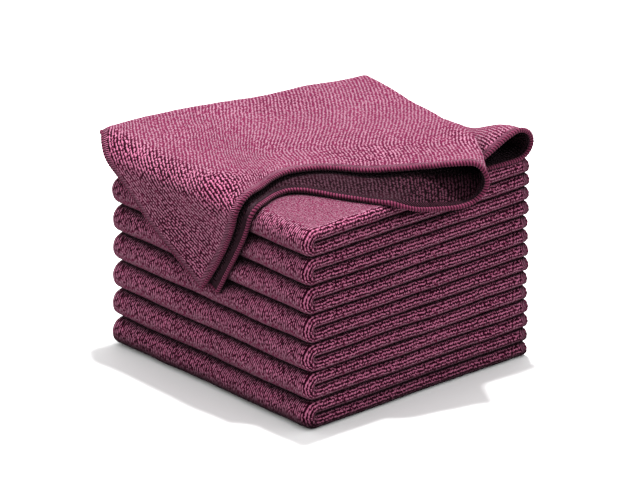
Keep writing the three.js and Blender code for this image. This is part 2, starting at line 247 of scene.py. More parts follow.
RIGHT_FOLD_LINE = [[97, 196, 0], [60, 192, 0], [20, 189, 0], [-16, 187, 0], [-52, 184, 0]]


def over_edge(x, q, height):
    """Place in space of a point at x, q and a height over the stack."""
    reach = EDGE_RADIUS + height
    angle = np.clip(-q / EDGE_ARC, 0, 1) * math.pi / 2
    y = EDGE_Y + np.clip(q, 0, None) - reach * np.sin(angle)
    z = STACK_TOP - EDGE_RADIUS + reach * np.cos(angle) + np.minimum(q + EDGE_ARC, 0)
    return np.stack([np.broadcast_to(x, z.shape), y, z], axis=-1)


def line_through(points, k):
    """Smooth line through evenly numbered points, at every k from 0 to 1."""
    points = np.asarray(points, dtype=float)
    last = len(points) - 1
    padded = np.vstack([2 * points[0] - points[1], points, 2 * points[-1] - points[-2]])
    place = np.clip(k, 0, 1) * last
    n = np.minimum(np.floor(place).astype(int), last - 1)
    f = (place - n)[..., None]
    a, b, c, d = padded[n], padded[n + 1], padded[n + 2], padded[n + 3]
    return 0.5 * (2 * b + (c - a) * f + (2 * a - 5 * b + 4 * c - d) * f ** 2
                  + (3 * b - a - 3 * c + d) * f ** 3)


def patch(front, back, left, right, s, t):
    """Smooth patch between four lines, at s along the first two and t along the others."""
    s, t = np.broadcast_arrays(s, t)
    f, b = line_through(front, s), line_through(back, s)
    l, r = line_through(left, t), line_through(right, t)
    ends = [line_through(line, np.array(k)) for line in (front, back) for k in (0.0, 1.0)]
    s, t = s[..., None], t[..., None]
    return ((1 - t) * f + t * b + (1 - s) * l + s * r
            - (1 - t) * ((1 - s) * ends[0] + s * ends[1])
            - t * ((1 - s) * ends[2] + s * ends[3]))


def inside_hidden(x, q):
    """How far inside the hidden half a place lies, its hem taken to run on straight."""
    pieces = 24
    line = line_through(HIDDEN_HEM_LINE, np.linspace(0, 1, pieces + 1))
    nearest = np.full(x.shape, np.inf)
    side = np.ones(x.shape)
    for n in range(pieces):
        a, b = line[n], line[n + 1]
        run = b - a
        along = ((x - a[0]) * run[0] + (q - a[1]) * run[1]) / (run[0] ** 2 + run[1] ** 2)
        low = -np.inf if n == 0 else 0.0
        high = np.inf if n == pieces - 1 else 1.0
        k = np.clip(along, low, high)
        gap = np.hypot(x - a[0] - run[0] * k, q - a[1] - run[1] * k)
        left = np.where(run[0] * (q - a[1]) - run[1] * (x - a[0]) > 0, 1.0, -1.0)
        side = np.where(gap < nearest, left, side)
        nearest = np.minimum(gap, nearest)
    return nearest * side


def creases(x, q):
    """Low, soft undulations of a towel thrown down by hand."""
    wave = 0.5 + 0.5 * np.sin(0.043 * x - 0.061 * q + 0.7 + 0.8 * np.sin(0.019 * x + 0.4))
    ripple = 0.5 + 0.5 * np.sin(0.105 * x + 0.038 * q + 1.9 * np.sin(0.021 * q + 1.1))
    return 0.9 * wave + 0.5 * ripple


def tucked(x, q, start):
    """How far a place lies in the zone where the slack is tucked between the layers."""
    return fade(q + TUCK_SLANT * x, start, TUCK_FADE)


def hidden_top(x, q):
    """Height of the hidden half's upper sheet."""
    rise = fade(q, *RIGHT_LOOP_Q) * fade(x, *RIGHT_LOOP_X)
    return (LOWEST_SHEET + PRESSED_STEP + HIDDEN_TUCK_RISE * tucked(x, q, HIDDEN_TUCK_START)
            + RIGHT_LOOP_RISE * rise)


def covered_share(x, q):
    """1 where the upper half lies on the hidden one, 0 where it lies on the stack."""
    return fade(inside_hidden(x, q), *COVER_INSIDE) * fade(q, *COVER_OVER_EDGE)


def lower_height(x, q):
    covered = covered_share(x, q)
    droop = PAST_SIDE_DROOP * fade(x, *PAST_SIDE_X) * (1 - covered)
    lying = mix(FREE_SHEET, hidden_top(x, q) + PRESSED_STEP + COVER_CLEARANCE, covered)
    return lying - droop


def upper_height(x, q):
    covered = covered_share(x, q)
    opening = FRONT_LOOP_RISE * fade(x, *FRONT_LOOP_X) * (1 - covered)
    return (lower_height(x, q) + UPPER_STEP
            + UPPER_TUCK_RISE * tucked(x, q, UPPER_TUCK_START) * covered + opening
            + PAST_SIDE_DROOP * fade(x, *PAST_SIDE_X) * (1 - covered))


def sag(place):
    """The soft stack sinks a little toward its far corner, and all that lies on it too."""
    low = fade(place[..., 1] - place[..., 0], *FAR_CORNER_FADE)
    place = place.copy()
    place[..., 2] = place[..., 2] * (1 - FAR_CORNER_SAG * low)
    return place


def layer_place(part, s, t, side, tuck):
    """Plan and height of a sheet: side is 1 on the outer sheet, -1 on the inner one, and runs
    between them round the fold, where the slack is pushed in by tuck."""
    side = np.broadcast_to(side, np.broadcast(s, t).shape)
    s = s - tuck / DRAPE_WIDTH * smooth((TUCK_REACH - np.abs(side)) / TUCK_EDGE_FADE)
    if part == "upper":
        u = patch(UPPER_HEM_LINE, BACK_FOLD_LINE, SIDE_HEM_LINE, FRONT_FOLD_LINE, s, t)
        low_line = patch(LOWER_HEM_LINE, BACK_FOLD_LINE, LOWER_SIDE_LINE, FRONT_FOLD_LINE, s, t)
        high = upper_height(u[..., 0], u[..., 1]) + u[..., 2] + creases(u[..., 0], u[..., 1])
        low = lower_height(low_line[..., 0], low_line[..., 1]) + low_line[..., 2]
        k = (1 + side)[..., None] / 2
        own = mix(low_line, u, k)
        height = (high + low) / 2 + side * (high - low) / 2
    else:
        own = patch(HIDDEN_HEM_LINE, BACK_FOLD_LINE, HIDDEN_SIDE_LINE, RIGHT_FOLD_LINE, s, t)
        high = hidden_top(own[..., 0], own[..., 1])
        low = np.full(high.shape, LOWEST_SHEET)
        height = (high + low) / 2 - side * (high - low) / 2
    return own[..., 0], own[..., 1], height


def back_direction(s):
    """Unit direction in plan away from the back fold, at s along it."""
    a = line_through(BACK_FOLD_LINE, np.maximum(0, s - 0.02))
    b = line_through(BACK_FOLD_LINE, np.minimum(1, s + 0.02))
    run = np.hypot(b[..., 0] - a[..., 0], b[..., 1] - a[..., 1])
    return -(b[..., 1] - a[..., 1]) / run, (b[..., 0] - a[..., 0]) / run


def front_turn(t):
    return mix(*FRONT_TURN_WIDTHS, fade(t, *TURN_T))


def hidden_turn(t):
    return mix(*HIDDEN_TURN_WIDTHS, fade(t, *TURN_T))


def upper_tuck(t):
    return UPPER_TUCK_DEPTH * fade(t, *UPPER_TUCK_T) / fade(1, *UPPER_TUCK_T)


def hidden_tuck(t):
    return HIDDEN_TUCK_DEPTH * fade(t, *HIDDEN_TUCK_T)


UPPER_ROWS = 116
TURN_ROWS = 14
HIDDEN_ROWS = 52
FLAT_COLUMNS = 78
FOLD_COLUMNS = 30
# Columns draw together toward the open hems, and round the fold toward the tucked slack.
FLAT_SPACING = 1.15
FOLD_SPACING = 1.25
# Where the cloth starts to be pressed: rows over which it thins, rows by which that starts
# ahead of the hidden half, share of the turn, and share of the upper rows.
PRESS_ROWS = 14
PRESS_AHEAD = 4
PRESS_SIDE = 0.3
TUCK_FIRST_ROW = 0.42


def section():
    """Across the fold: how far along each sheet, and its side, with the edge turn last."""
    flat = (np.arange(FLAT_COLUMNS) / FLAT_COLUMNS) ** FLAT_SPACING
    side = np.cos(np.linspace(0, math.pi, 2 * FOLD_COLUMNS + 1))
    side = np.sign(side) * np.abs(side) ** FOLD_SPACING
    across = np.concatenate([flat, np.ones(side.size), flat[::-1]])
    sides = np.concatenate([np.ones(flat.size), side, -np.ones(flat.size)])
    return across, sides


def draped_rows():
    """Grid of the draped towel's middle surface, from its upper hem round to its hidden one."""
    across, sides = section()
    s, side = across[None, :], sides[None, :]

    def along(turn):
        edge = turn / DRAPE_WIDTH
        round_edge = np.sqrt(np.maximum(0, 1 - side ** 2))
        return np.where(across[None, :] < 1, s * (1 - edge), 1 - edge * (1 - round_edge))

    t = (np.arange(UPPER_ROWS) / UPPER_ROWS)[:, None]
    upper = over_edge(*layer_place(
        "upper", along(front_turn(t)), t, side, upper_tuck(t)))
    one = np.array([[1.0]])
    s_one = along(front_turn(one))
    above = layer_place("upper", s_one, one, side, upper_tuck(one))
    below = layer_place("hidden", s_one, one, side, hidden_tuck(one))
    angle = np.linspace(0, math.pi, TURN_ROWS + 1)[:, None]
    k = (1 - np.cos(angle)) / 2
    reach = (above[2] - below[2]) / 2 * np.sin(angle)
    away = back_direction(s_one)
    turn = over_edge(mix(above[0], below[0], k) + away[0] * reach,
                     mix(above[1], below[1], k) + away[1] * reach,
                     mix(above[2], below[2], k))
    t = (1 - (np.arange(HIDDEN_ROWS) + 1) / HIDDEN_ROWS)[:, None]
    hidden = over_edge(*layer_place(
        "hidden", along(hidden_turn(t)), t, side, hidden_tuck(t)))
    return np.concatenate([upper, turn, hidden], axis=0)


def cloth_gauge(rows):
    """Thickness of the draped cloth: full where it lies free, pressed in the layers below."""
    sides = section()[1]
    x, q = rows[..., 0], rows[..., 1] - EDGE_Y
    row = np.arange(rows.shape[0])[:, None]
    inward = smooth((1 - sides) / PRESS_SIDE)[None, :]
    pressed = fade(row, UPPER_ROWS - PRESS_AHEAD, PRESS_ROWS) * np.ones(x.shape)
    tuck = fade(row, TUCK_FIRST_ROW * UPPER_ROWS, PRESS_ROWS) * inward
    inner = covered_share(x, q) * inward
    return mix(VISIBLE_THICKNESS, PRESSED_CLOTH, np.maximum(pressed, np.maximum(tuck, inner)))


def grid_normals(rows):
    along = np.gradient(rows, axis=1)
    up = np.gradient(rows, axis=0)
    normal = np.cross(along, up)
    return normal / np.linalg.norm(normal, axis=-1, keepdims=True)


# ------------------------------------------------------------------ meshes

JOIN_DISTANCE = 0.02 * MM


def clear_selection():
    if bpy.context.mode != "OBJECT":
        bpy.ops.object.mode_set(mode="OBJECT")
    bpy.ops.object.select_all(action="DESELECT")


def grid_piece(name, places):
    """A grid primitive whose points are laid at places[j][i], given in millimetres."""
    clear_selection()
    rows, columns = places.shape[:2]
    bpy.ops.mesh.primitive_grid_add(x_subdivisions=columns - 1, y_subdivisions=rows - 1, size=1)
    piece = bpy.context.active_object
    piece.name = name
    piece.data.name = name
    piece.data.vertices.foreach_set("co", (places.reshape(-1) * MM).astype(np.float32))
    piece.data.update()
    return piece


def lay_pattern(piece, flat):
    """UV map in metres along and across the flat cloth, one pair for each point."""
    mesh = piece.data
    corner = np.empty(len(mesh.loops), dtype=np.int32)
    mesh.loops.foreach_get("vertex_index", corner)
    layer = mesh.uv_layers.active
    layer.name = "flat_cloth"
    values = flat.reshape(-1, 2)[corner] * MM
    layer.data.foreach_set("uv", values.reshape(-1).astype(np.float32))


def finish_sheet(piece, thickness, gauge=None):
    """Gives the sheet its thickness, thinner where gauge says so."""
    modifier = piece.modifiers.new("cloth_thickness", "SOLIDIFY")
    modifier.thickness = thickness * MM
    modifier.offset = 0
    modifier.use_even_offset = gauge is None
    modifier.use_rim = True
    if gauge is not None:
        group = piece.vertex_groups.new(name="gauge")
        for n, share in enumerate((gauge / thickness).reshape(-1)):
            group.add((n,), float(share), "REPLACE")
        modifier.vertex_group = group.name
    bpy.context.view_layer.objects.active = piece
    bpy.ops.object.modifier_apply(modifier=modifier.name)
    smooth_faces(piece)


def smooth_faces(piece):
    piece.data.polygons.foreach_set("use_smooth", np.ones(len(piece.data.polygons), dtype=bool))
    piece.data.update()


def face_out(piece):
    """Joins the two ends of a closed rope and turns its faces outward."""
    clear_selection()
    piece.select_set(True)
    bpy.context.view_layer.objects.active = piece
    bpy.ops.object.mode_set(mode="EDIT")
    bpy.ops.mesh.select_all(action="SELECT")
    bpy.ops.mesh.remove_doubles(threshold=JOIN_DISTANCE)
    bpy.ops.mesh.normals_make_consistent(inside=False)
    bpy.ops.object.mode_set(mode="OBJECT")
    clear_selection()


def stitched_hem(name, centres, normals, sides, samples_per_stitch, stitch, half_width,
                 half_depth):
    """Overlock thread wound over the cut edge: a rope whose turns slant round the rim."""
    ring = np.vstack([centres, centres[:1]])
    steps = np.linalg.norm(np.diff(ring, axis=0), axis=1)
    length = np.concatenate([[0], np.cumsum(steps)])
    stitches = round(length[-1] / stitch)
    count = stitches * samples_per_stitch
    at = np.linspace(0, length[-1], count + 1)
    centre = np.stack([np.interp(at, length, ring[:, i]) for i in range(3)], axis=-1)
    facing = np.vstack([normals, normals[:1]])
    facing = np.stack([np.interp(at, length, facing[:, i]) for i in range(3)], axis=-1)
    along = np.gradient(centre, axis=0)
    along[0] = along[-1] = centre[1] - centre[-2]
    along /= np.linalg.norm(along, axis=-1, keepdims=True)
    out = np.cross(along, facing)
    out /= np.linalg.norm(out, axis=-1, keepdims=True)
    up = np.cross(out, along)
    angle = np.linspace(0, 2 * math.pi, sides + 1)
    phase = math.pi * stitches * at / length[-1]
    ridge = np.abs(np.sin(phase[:, None] + angle[None, :] / 2))
    swell = ROPE_WAIST + ROPE_SWELL * ridge ** ROPE_ROUNDNESS
    places = (centre[:, None, :]
              + out[:, None, :] * (half_width * np.cos(angle) * swell)[..., None]
              + up[:, None, :] * (half_depth * np.sin(angle) * swell)[..., None])
    piece = grid_piece(name, places)
    flat = np.stack(np.broadcast_arrays(at[:, None], angle[None, :] * ROPE_RADIUS), axis=-1)
    lay_pattern(piece, flat)
    face_out(piece)
    smooth_faces(piece)
    return piece


def rim_of(grid):
    """The points round the edge of a grid, in order, without repeats."""
    return np.concatenate([grid[0, :-1], grid[:-1, -1], grid[-1, :0:-1], grid[:0:-1, 0]])


# ------------------------------------------------------------------ materials

# The pile, in metres: ribs across the cloth, loops along them, and how far the ribs waver.
RIB_PITCH = 0.0017
LOOP_LENGTH = 0.0015
WAVER_SCALE = 160.0
WAVER = (0.0011, 0.0016, 0.0)
LOOP_DISORDER = 0.90
LOOP_EDGE, LOOP_TOP = 0.62, 0.06
GROOVE_SHARE = 0.50
LOOP_SHARE = 0.50
FUZZ_SCALE, FUZZ_SHARE = 2600.0, 0.25
TANGLE_SCALE, TANGLE_AMOUNT = 1150.0, 0.16
TANGLE_RANGE = (0.32, 0.68)
TIP_RANGE = (0.40, 0.86)
# The loose towel's pile stands open: its flat map shrinks by this share, so the loops grow.
LOOSE_PILE = 0.30
PILE_DEPTH = 0.0011

# Slow changes of shade over the cloth.
BROAD_SCALE, BROAD_SHARE = 22.0, 0.45
FINE_SCALE, FINE_SHARE = 190.0, 0.55
SHADE_RANGE = (0.3, 0.7)

# Colours from the bottom of the pile to its tips, and of the tips seen along the cloth: the
# near-black bottom is painted shade between the loops, and the paler tip seen along the cloth is a
# painted sheen.
DEEP_PAINTED_SHADE = (0.020, 0.0012, 0.0070)
BODY = (0.165, 0.014, 0.056)
TIP = (0.530, 0.155, 0.275)
PAINTED_SHEEN_TIP = (0.350, 0.192, 0.250)
# The thread's colours are set darker than the cloth's, as painted shade on the hems.
THREAD_BODY = (0.075, 0.006, 0.024)
THREAD_TIP = (0.250, 0.045, 0.105)
TONE_SHARE, SHADE_SHARE, SHADE_OFFSET = 0.30, 0.34, -0.32
BODY_RANGE = (0.05, 0.5)
BRIGHT_RANGE = (0.38, 0.90)
GRAZED_RANGE = (0.22, 0.64)
# Painted sheen: seen along the cloth, the pile looks this even and this light.
SLANT_RANGE, SLANT_EVENNESS, PAINTED_SHEEN_LIGHTNESS = (0.26, 0.66), 0.64, 0.60

# The row of stitching beside every cut edge: where it fades out in metres, and its slope.
STITCH_BAND = (0.0042, 0.0034)
STITCH_SLANT = 0.72

# Roughness at the bottom and at the tips, and sheen: weight, roughness and tint.
CLOTH_ROUGHNESS = (0.98, 0.82)
CLOTH_SHEEN = (0.06, 0.30, (1.0, 0.60, 0.78))
THREAD_ROUGHNESS = (0.9, 0.68)
THREAD_SHEEN = (0.15, 0.45, (0.95, 0.62, 0.76))
SPECULAR = 0.05

# The folds' hollows get painted shade: reach of the darkening in metres, its range and how dark it
# gets, and how much the sheet side facing into the fold is darkened.
HOLLOW_SAMPLES = 6
HOLLOW_REACH = 0.030
HOLLOW_RANGE = (0.20, 0.95)
HOLLOW_DARKEST = 0.04
PAINTED_FOLD_SHADE_DEPTH = 0.86

# Thread: pitch in metres and slope of its strands, shares in its relief and in its lightness.
STRAND_PITCH = 0.00055
STRAND_SLOPE = 0.9
THREAD_FUZZ_SCALE = 2300.0
STRAND_RELIEF, FUZZ_RELIEF, RIDGE_RELIEF = 0.3, 0.35, 0.6
RIDGE_RANGE = (0.15, 0.95)
THREAD_SHADE_SHARE, THREAD_SHADE_OFFSET = 0.3, 0.72
STRAND_LIGHTNESS = 0.18
THREAD_BODY_RANGE = (0.0, 0.5)
THREAD_BRIGHT_RANGE = (0.5, 1.2)
THREAD_DEPTH = 0.0005


def new_group(name, inputs, outputs):
    group = bpy.data.node_groups.new(name, "ShaderNodeTree")
    for title, kind, value in inputs:
        socket = group.interface.new_socket(name=title, in_out="INPUT", socket_type=kind)
        if value is not None:
            socket.default_value = value
    for title, kind in outputs:
        group.interface.new_socket(name=title, in_out="OUTPUT", socket_type=kind)
    start = group.nodes.new("NodeGroupInput")
    end = group.nodes.new("NodeGroupOutput")
    return group, start, end


def calculate(tree, operation, a, b=None, c=None, clamp=False):
    node = tree.nodes.new("ShaderNodeMath")
    node.operation = operation
    node.use_clamp = clamp
    for slot, value in zip(node.inputs, (a, b, c)):
        if value is None:
            continue
        if isinstance(value, (int, float)):
            slot.default_value = value
        else:
            tree.links.new(value, slot)
    return node.outputs[0]


def ramp_between(tree, value, low, high, to_low=0.0, to_high=1.0):
    node = tree.nodes.new("ShaderNodeMapRange")
    node.interpolation_type = "SMOOTHSTEP"
    tree.links.new(value, node.inputs["Value"])
    for title, number in (("From Min", low), ("From Max", high),
                          ("To Min", to_low), ("To Max", to_high)):
        node.inputs[title].default_value = number
    return node.outputs[0]


def noise(tree, vector, scale, detail, roughness):
    node = tree.nodes.new("ShaderNodeTexNoise")
    node.inputs["Scale"].default_value = scale
    node.inputs["Detail"].default_value = detail
    node.inputs["Roughness"].default_value = roughness
    tree.links.new(vector, node.inputs["Vector"])
    return node.outputs["Fac"]


def looped_pile_group():
    """Looped pile in ribs: rows of small loops along the cloth, from its flat UV map."""
    group, start, end = new_group(
        "looped_pile",
        [("Flat Cloth", "NodeSocketVector", None), ("Rib Pitch", "NodeSocketFloat", RIB_PITCH),
         ("Loop Length", "NodeSocketFloat", LOOP_LENGTH)],
        [("Height", "NodeSocketFloat"), ("Tip", "NodeSocketFloat"), ("Tone", "NodeSocketFloat")])
    links = group.links
    flat = start.outputs["Flat Cloth"]
    # The ribs waver a little.
    waver = group.nodes.new("ShaderNodeTexNoise")
    waver.inputs["Scale"].default_value = WAVER_SCALE
    waver.inputs["Detail"].default_value = 2.0
    links.new(flat, waver.inputs["Vector"])
    centred = group.nodes.new("ShaderNodeVectorMath")
    centred.operation = "SUBTRACT"
    links.new(waver.outputs["Color"], centred.inputs[0])
    centred.inputs[1].default_value = (0.5, 0.5, 0.5)
    swayed = group.nodes.new("ShaderNodeVectorMath")
    swayed.operation = "MULTIPLY_ADD"
    links.new(centred.outputs[0], swayed.inputs[0])
    swayed.inputs[1].default_value = WAVER
    links.new(flat, swayed.inputs[2])
    parts = group.nodes.new("ShaderNodeSeparateXYZ")
    links.new(swayed.outputs[0], parts.inputs[0])
    across = calculate(group, "DIVIDE", parts.outputs["X"], start.outputs["Rib Pitch"])
    along = calculate(group, "DIVIDE", parts.outputs["Y"], start.outputs["Loop Length"])
    # Alternate ribs are set half a loop on.
    rib = calculate(group, "FLOOR", across)
    odd = calculate(group, "MODULO", rib, 2.0)
    shifted = calculate(group, "MULTIPLY_ADD", odd, 0.5, along)
    cells = group.nodes.new("ShaderNodeCombineXYZ")
    links.new(across, cells.inputs["X"])
    links.new(shifted, cells.inputs["Y"])
    loops = group.nodes.new("ShaderNodeTexVoronoi")
    loops.voronoi_dimensions = "2D"
    loops.inputs["Scale"].default_value = 1.0
    loops.inputs["Randomness"].default_value = LOOP_DISORDER
    links.new(cells.outputs[0], loops.inputs["Vector"])
    bump = ramp_between(group, loops.outputs["Distance"], LOOP_EDGE, LOOP_TOP)
    wave = calculate(group, "MULTIPLY", across, 2 * math.pi)
    wave = calculate(group, "COSINE", wave)
    groove = calculate(group, "MULTIPLY_ADD", wave, -0.5, 0.5)
    height = calculate(group, "MULTIPLY_ADD", groove, GROOVE_SHARE, calculate(
        group, "MULTIPLY", bump, LOOP_SHARE))
    fuzz = noise(group, swayed.outputs[0], FUZZ_SCALE, 2.0, 0.6)
    height = calculate(group, "MULTIPLY_ADD", fuzz, FUZZ_SHARE, height)
    tangle = noise(group, flat, TANGLE_SCALE, 1.0, 0.5)
    tangle = ramp_between(group, tangle, *TANGLE_RANGE, -TANGLE_AMOUNT, TANGLE_AMOUNT)
    height = calculate(group, "ADD", height, tangle)
    links.new(height, end.inputs["Height"])
    tip = ramp_between(group, height, *TIP_RANGE)
    links.new(tip, end.inputs["Tip"])
    split = group.nodes.new("ShaderNodeSeparateColor")
    links.new(loops.outputs["Color"], split.inputs[0])
    links.new(split.outputs[0], end.inputs["Tone"])
    return group


def brushed_shade_group():
    """Slow, soft changes of shade over brushed cloth."""
    group, start, end = new_group(
        "brushed_shade", [("Place", "NodeSocketVector", None)], [("Shade", "NodeSocketFloat")])
    broad = noise(group, start.outputs["Place"], BROAD_SCALE, 3.0, 0.55)
    fine = noise(group, start.outputs["Place"], FINE_SCALE, 3.0, 0.6)
    total = calculate(group, "MULTIPLY_ADD", fine, FINE_SHARE, calculate(
        group, "MULTIPLY", broad, BROAD_SHARE))
    group.links.new(ramp_between(group, total, *SHADE_RANGE), end.inputs["Shade"])
    return group


def colour_mix(tree, factor, a, b):
    node = tree.nodes.new("ShaderNodeMix")
    node.data_type = "RGBA"
    tree.links.new(factor, node.inputs[0])
    for slot, value in ((6, a), (7, b)):
        if isinstance(value, tuple):
            node.inputs[slot].default_value = (*value, 1.0)
        else:
            tree.links.new(value, node.inputs[slot])
    return node.outputs[2]


def new_material(name):
    material = bpy.data.materials.new(name)
    material.use_nodes = True
    tree = material.node_tree
    shader = tree.nodes["Principled BSDF"]
    return material, tree, shader


PILE = looped_pile_group()
SHADE = brushed_shade_group()


def place_group(tree, group):
    node = tree.nodes.new("ShaderNodeGroup")
    node.node_tree = group
    return node


def painted_crevice_shade(tree, colour):
    """Painted shade: the colour sinks to near black deep in the folds, where light is lost in the
    pile, and is darkened on the sheet side that faces into the fold.
    """
    hollow = tree.nodes.new("ShaderNodeAmbientOcclusion")
    hollow.samples = HOLLOW_SAMPLES
    hollow.inputs["Distance"].default_value = HOLLOW_REACH
    open_share = ramp_between(tree, hollow.outputs["AO"], *HOLLOW_RANGE, HOLLOW_DARKEST, 1.0)
    node = tree.nodes.new("ShaderNodeMix")
    node.data_type = "RGBA"
    node.blend_type = "MULTIPLY"
    node.inputs[0].default_value = 1.0
    tree.links.new(colour, node.inputs[6])
    # Painted shade: the sheet side marked as facing into the fold is darkened further.
    painted_fold_shade = tree.nodes.new("ShaderNodeAttribute")
    painted_fold_shade.attribute_name = "painted_fold_shade"
    dimmed = calculate(
        tree, "MULTIPLY_ADD", painted_fold_shade.outputs["Fac"], -PAINTED_FOLD_SHADE_DEPTH, 1.0)
    tree.links.new(calculate(tree, "MULTIPLY", open_share, dimmed), node.inputs[7])
    return node.outputs[2]


def terry_material(name, length, width):
    """Ribbed microfibre pile, with the needle line of the overlock along every edge."""
    material, tree, shader = new_material(name)
    flat = tree.nodes.new("ShaderNodeUVMap")
    flat.uv_map = "flat_cloth"
    where = tree.nodes.new("ShaderNodeTexCoord")
    pile = place_group(tree, PILE)
    loose = tree.nodes.new("ShaderNodeAttribute")
    loose.attribute_name = "loose_pile"
    opened = tree.nodes.new("ShaderNodeVectorMath")
    opened.operation = "SCALE"
    tree.links.new(flat.outputs["UV"], opened.inputs[0])
    tree.links.new(calculate(tree, "MULTIPLY_ADD", loose.outputs["Fac"], -LOOSE_PILE, 1.0),
                   opened.inputs["Scale"])
    tree.links.new(opened.outputs[0], pile.inputs["Flat Cloth"])
    shade = place_group(tree, SHADE)
    tree.links.new(where.outputs["Object"], shade.inputs["Place"])
    # Distance from the nearest cut edge.
    parts = tree.nodes.new("ShaderNodeSeparateXYZ")
    tree.links.new(flat.outputs["UV"], parts.inputs[0])
    far_u = calculate(tree, "SUBTRACT", length * MM, parts.outputs["X"])
    far_v = calculate(tree, "SUBTRACT", width * MM, parts.outputs["Y"])
    edge = calculate(tree, "MINIMUM", calculate(tree, "MINIMUM", parts.outputs["X"], far_u),
                     calculate(tree, "MINIMUM", parts.outputs["Y"], far_v))
    band = ramp_between(tree, edge, *STITCH_BAND)
    slant = calculate(tree, "ADD", parts.outputs["X"], parts.outputs["Y"])
    threads = calculate(tree, "SINE", calculate(
        tree, "MULTIPLY", slant, 2 * math.pi / (HEM_STITCH_PITCH * MM * STITCH_SLANT)))
    threads = calculate(tree, "MULTIPLY_ADD", threads, 0.5, 0.5)
    height = tree.nodes.new("ShaderNodeMix")
    tree.links.new(band, height.inputs[0])
    tree.links.new(pile.outputs["Height"], height.inputs[2])
    tree.links.new(threads, height.inputs[3])
    tip = tree.nodes.new("ShaderNodeMix")
    tree.links.new(band, tip.inputs[0])
    tree.links.new(pile.outputs["Tip"], tip.inputs[2])
    tree.links.new(ramp_between(tree, threads, 0.25, 1.0), tip.inputs[3])
    # Colour: dark between the loops as painted shade, lighter at their tips, uneven from loop to
    # loop.
    varied = calculate(tree, "MULTIPLY_ADD", pile.outputs["Tone"], TONE_SHARE, calculate(
        tree, "MULTIPLY_ADD", shade.outputs["Shade"], SHADE_SHARE, SHADE_OFFSET))
    lit = calculate(tree, "ADD", tip.outputs[0], varied, clamp=True)
    # Painted sheen: seen along the cloth, the colour turns even, lighter and paler, as the tips of
    # the pile hide the hollows between them.
    weight = tree.nodes.new("ShaderNodeLayerWeight")
    weight.inputs["Blend"].default_value = 0.5
    facing = weight.outputs["Facing"]
    painted_sheen_share = ramp_between(tree, facing, *SLANT_RANGE, 0.0, SLANT_EVENNESS)
    seen = tree.nodes.new("ShaderNodeMix")
    tree.links.new(painted_sheen_share, seen.inputs[0])
    tree.links.new(lit, seen.inputs[2])
    seen.inputs[3].default_value = PAINTED_SHEEN_LIGHTNESS
    lit = seen.outputs[0]
    low = colour_mix(tree, ramp_between(tree, lit, *BODY_RANGE), DEEP_PAINTED_SHADE, BODY)
    bright = colour_mix(tree, ramp_between(tree, facing, *GRAZED_RANGE), TIP, PAINTED_SHEEN_TIP)
    colour = colour_mix(tree, ramp_between(tree, lit, *BRIGHT_RANGE), low, bright)
    tree.links.new(painted_crevice_shade(tree, colour), shader.inputs["Base Color"])
    rough = ramp_between(tree, tip.outputs[0], 0.0, 1.0, *CLOTH_ROUGHNESS)
    tree.links.new(rough, shader.inputs["Roughness"])
    bump = tree.nodes.new("ShaderNodeBump")
    bump.inputs["Strength"].default_value = 1.0
    bump.inputs["Distance"].default_value = PILE_DEPTH
    tree.links.new(height.outputs[0], bump.inputs["Height"])
    tree.links.new(bump.outputs[0], shader.inputs["Normal"])
    set_cloth_gloss(shader, *CLOTH_SHEEN)
    return material


def set_cloth_gloss(shader, sheen, sheen_roughness, tint):
    shader.inputs["Specular IOR Level"].default_value = SPECULAR
    shader.inputs["Sheen Weight"].default_value = sheen
    shader.inputs["Sheen Roughness"].default_value = sheen_roughness
    shader.inputs["Sheen Tint"].default_value = (*tint, 1.0)


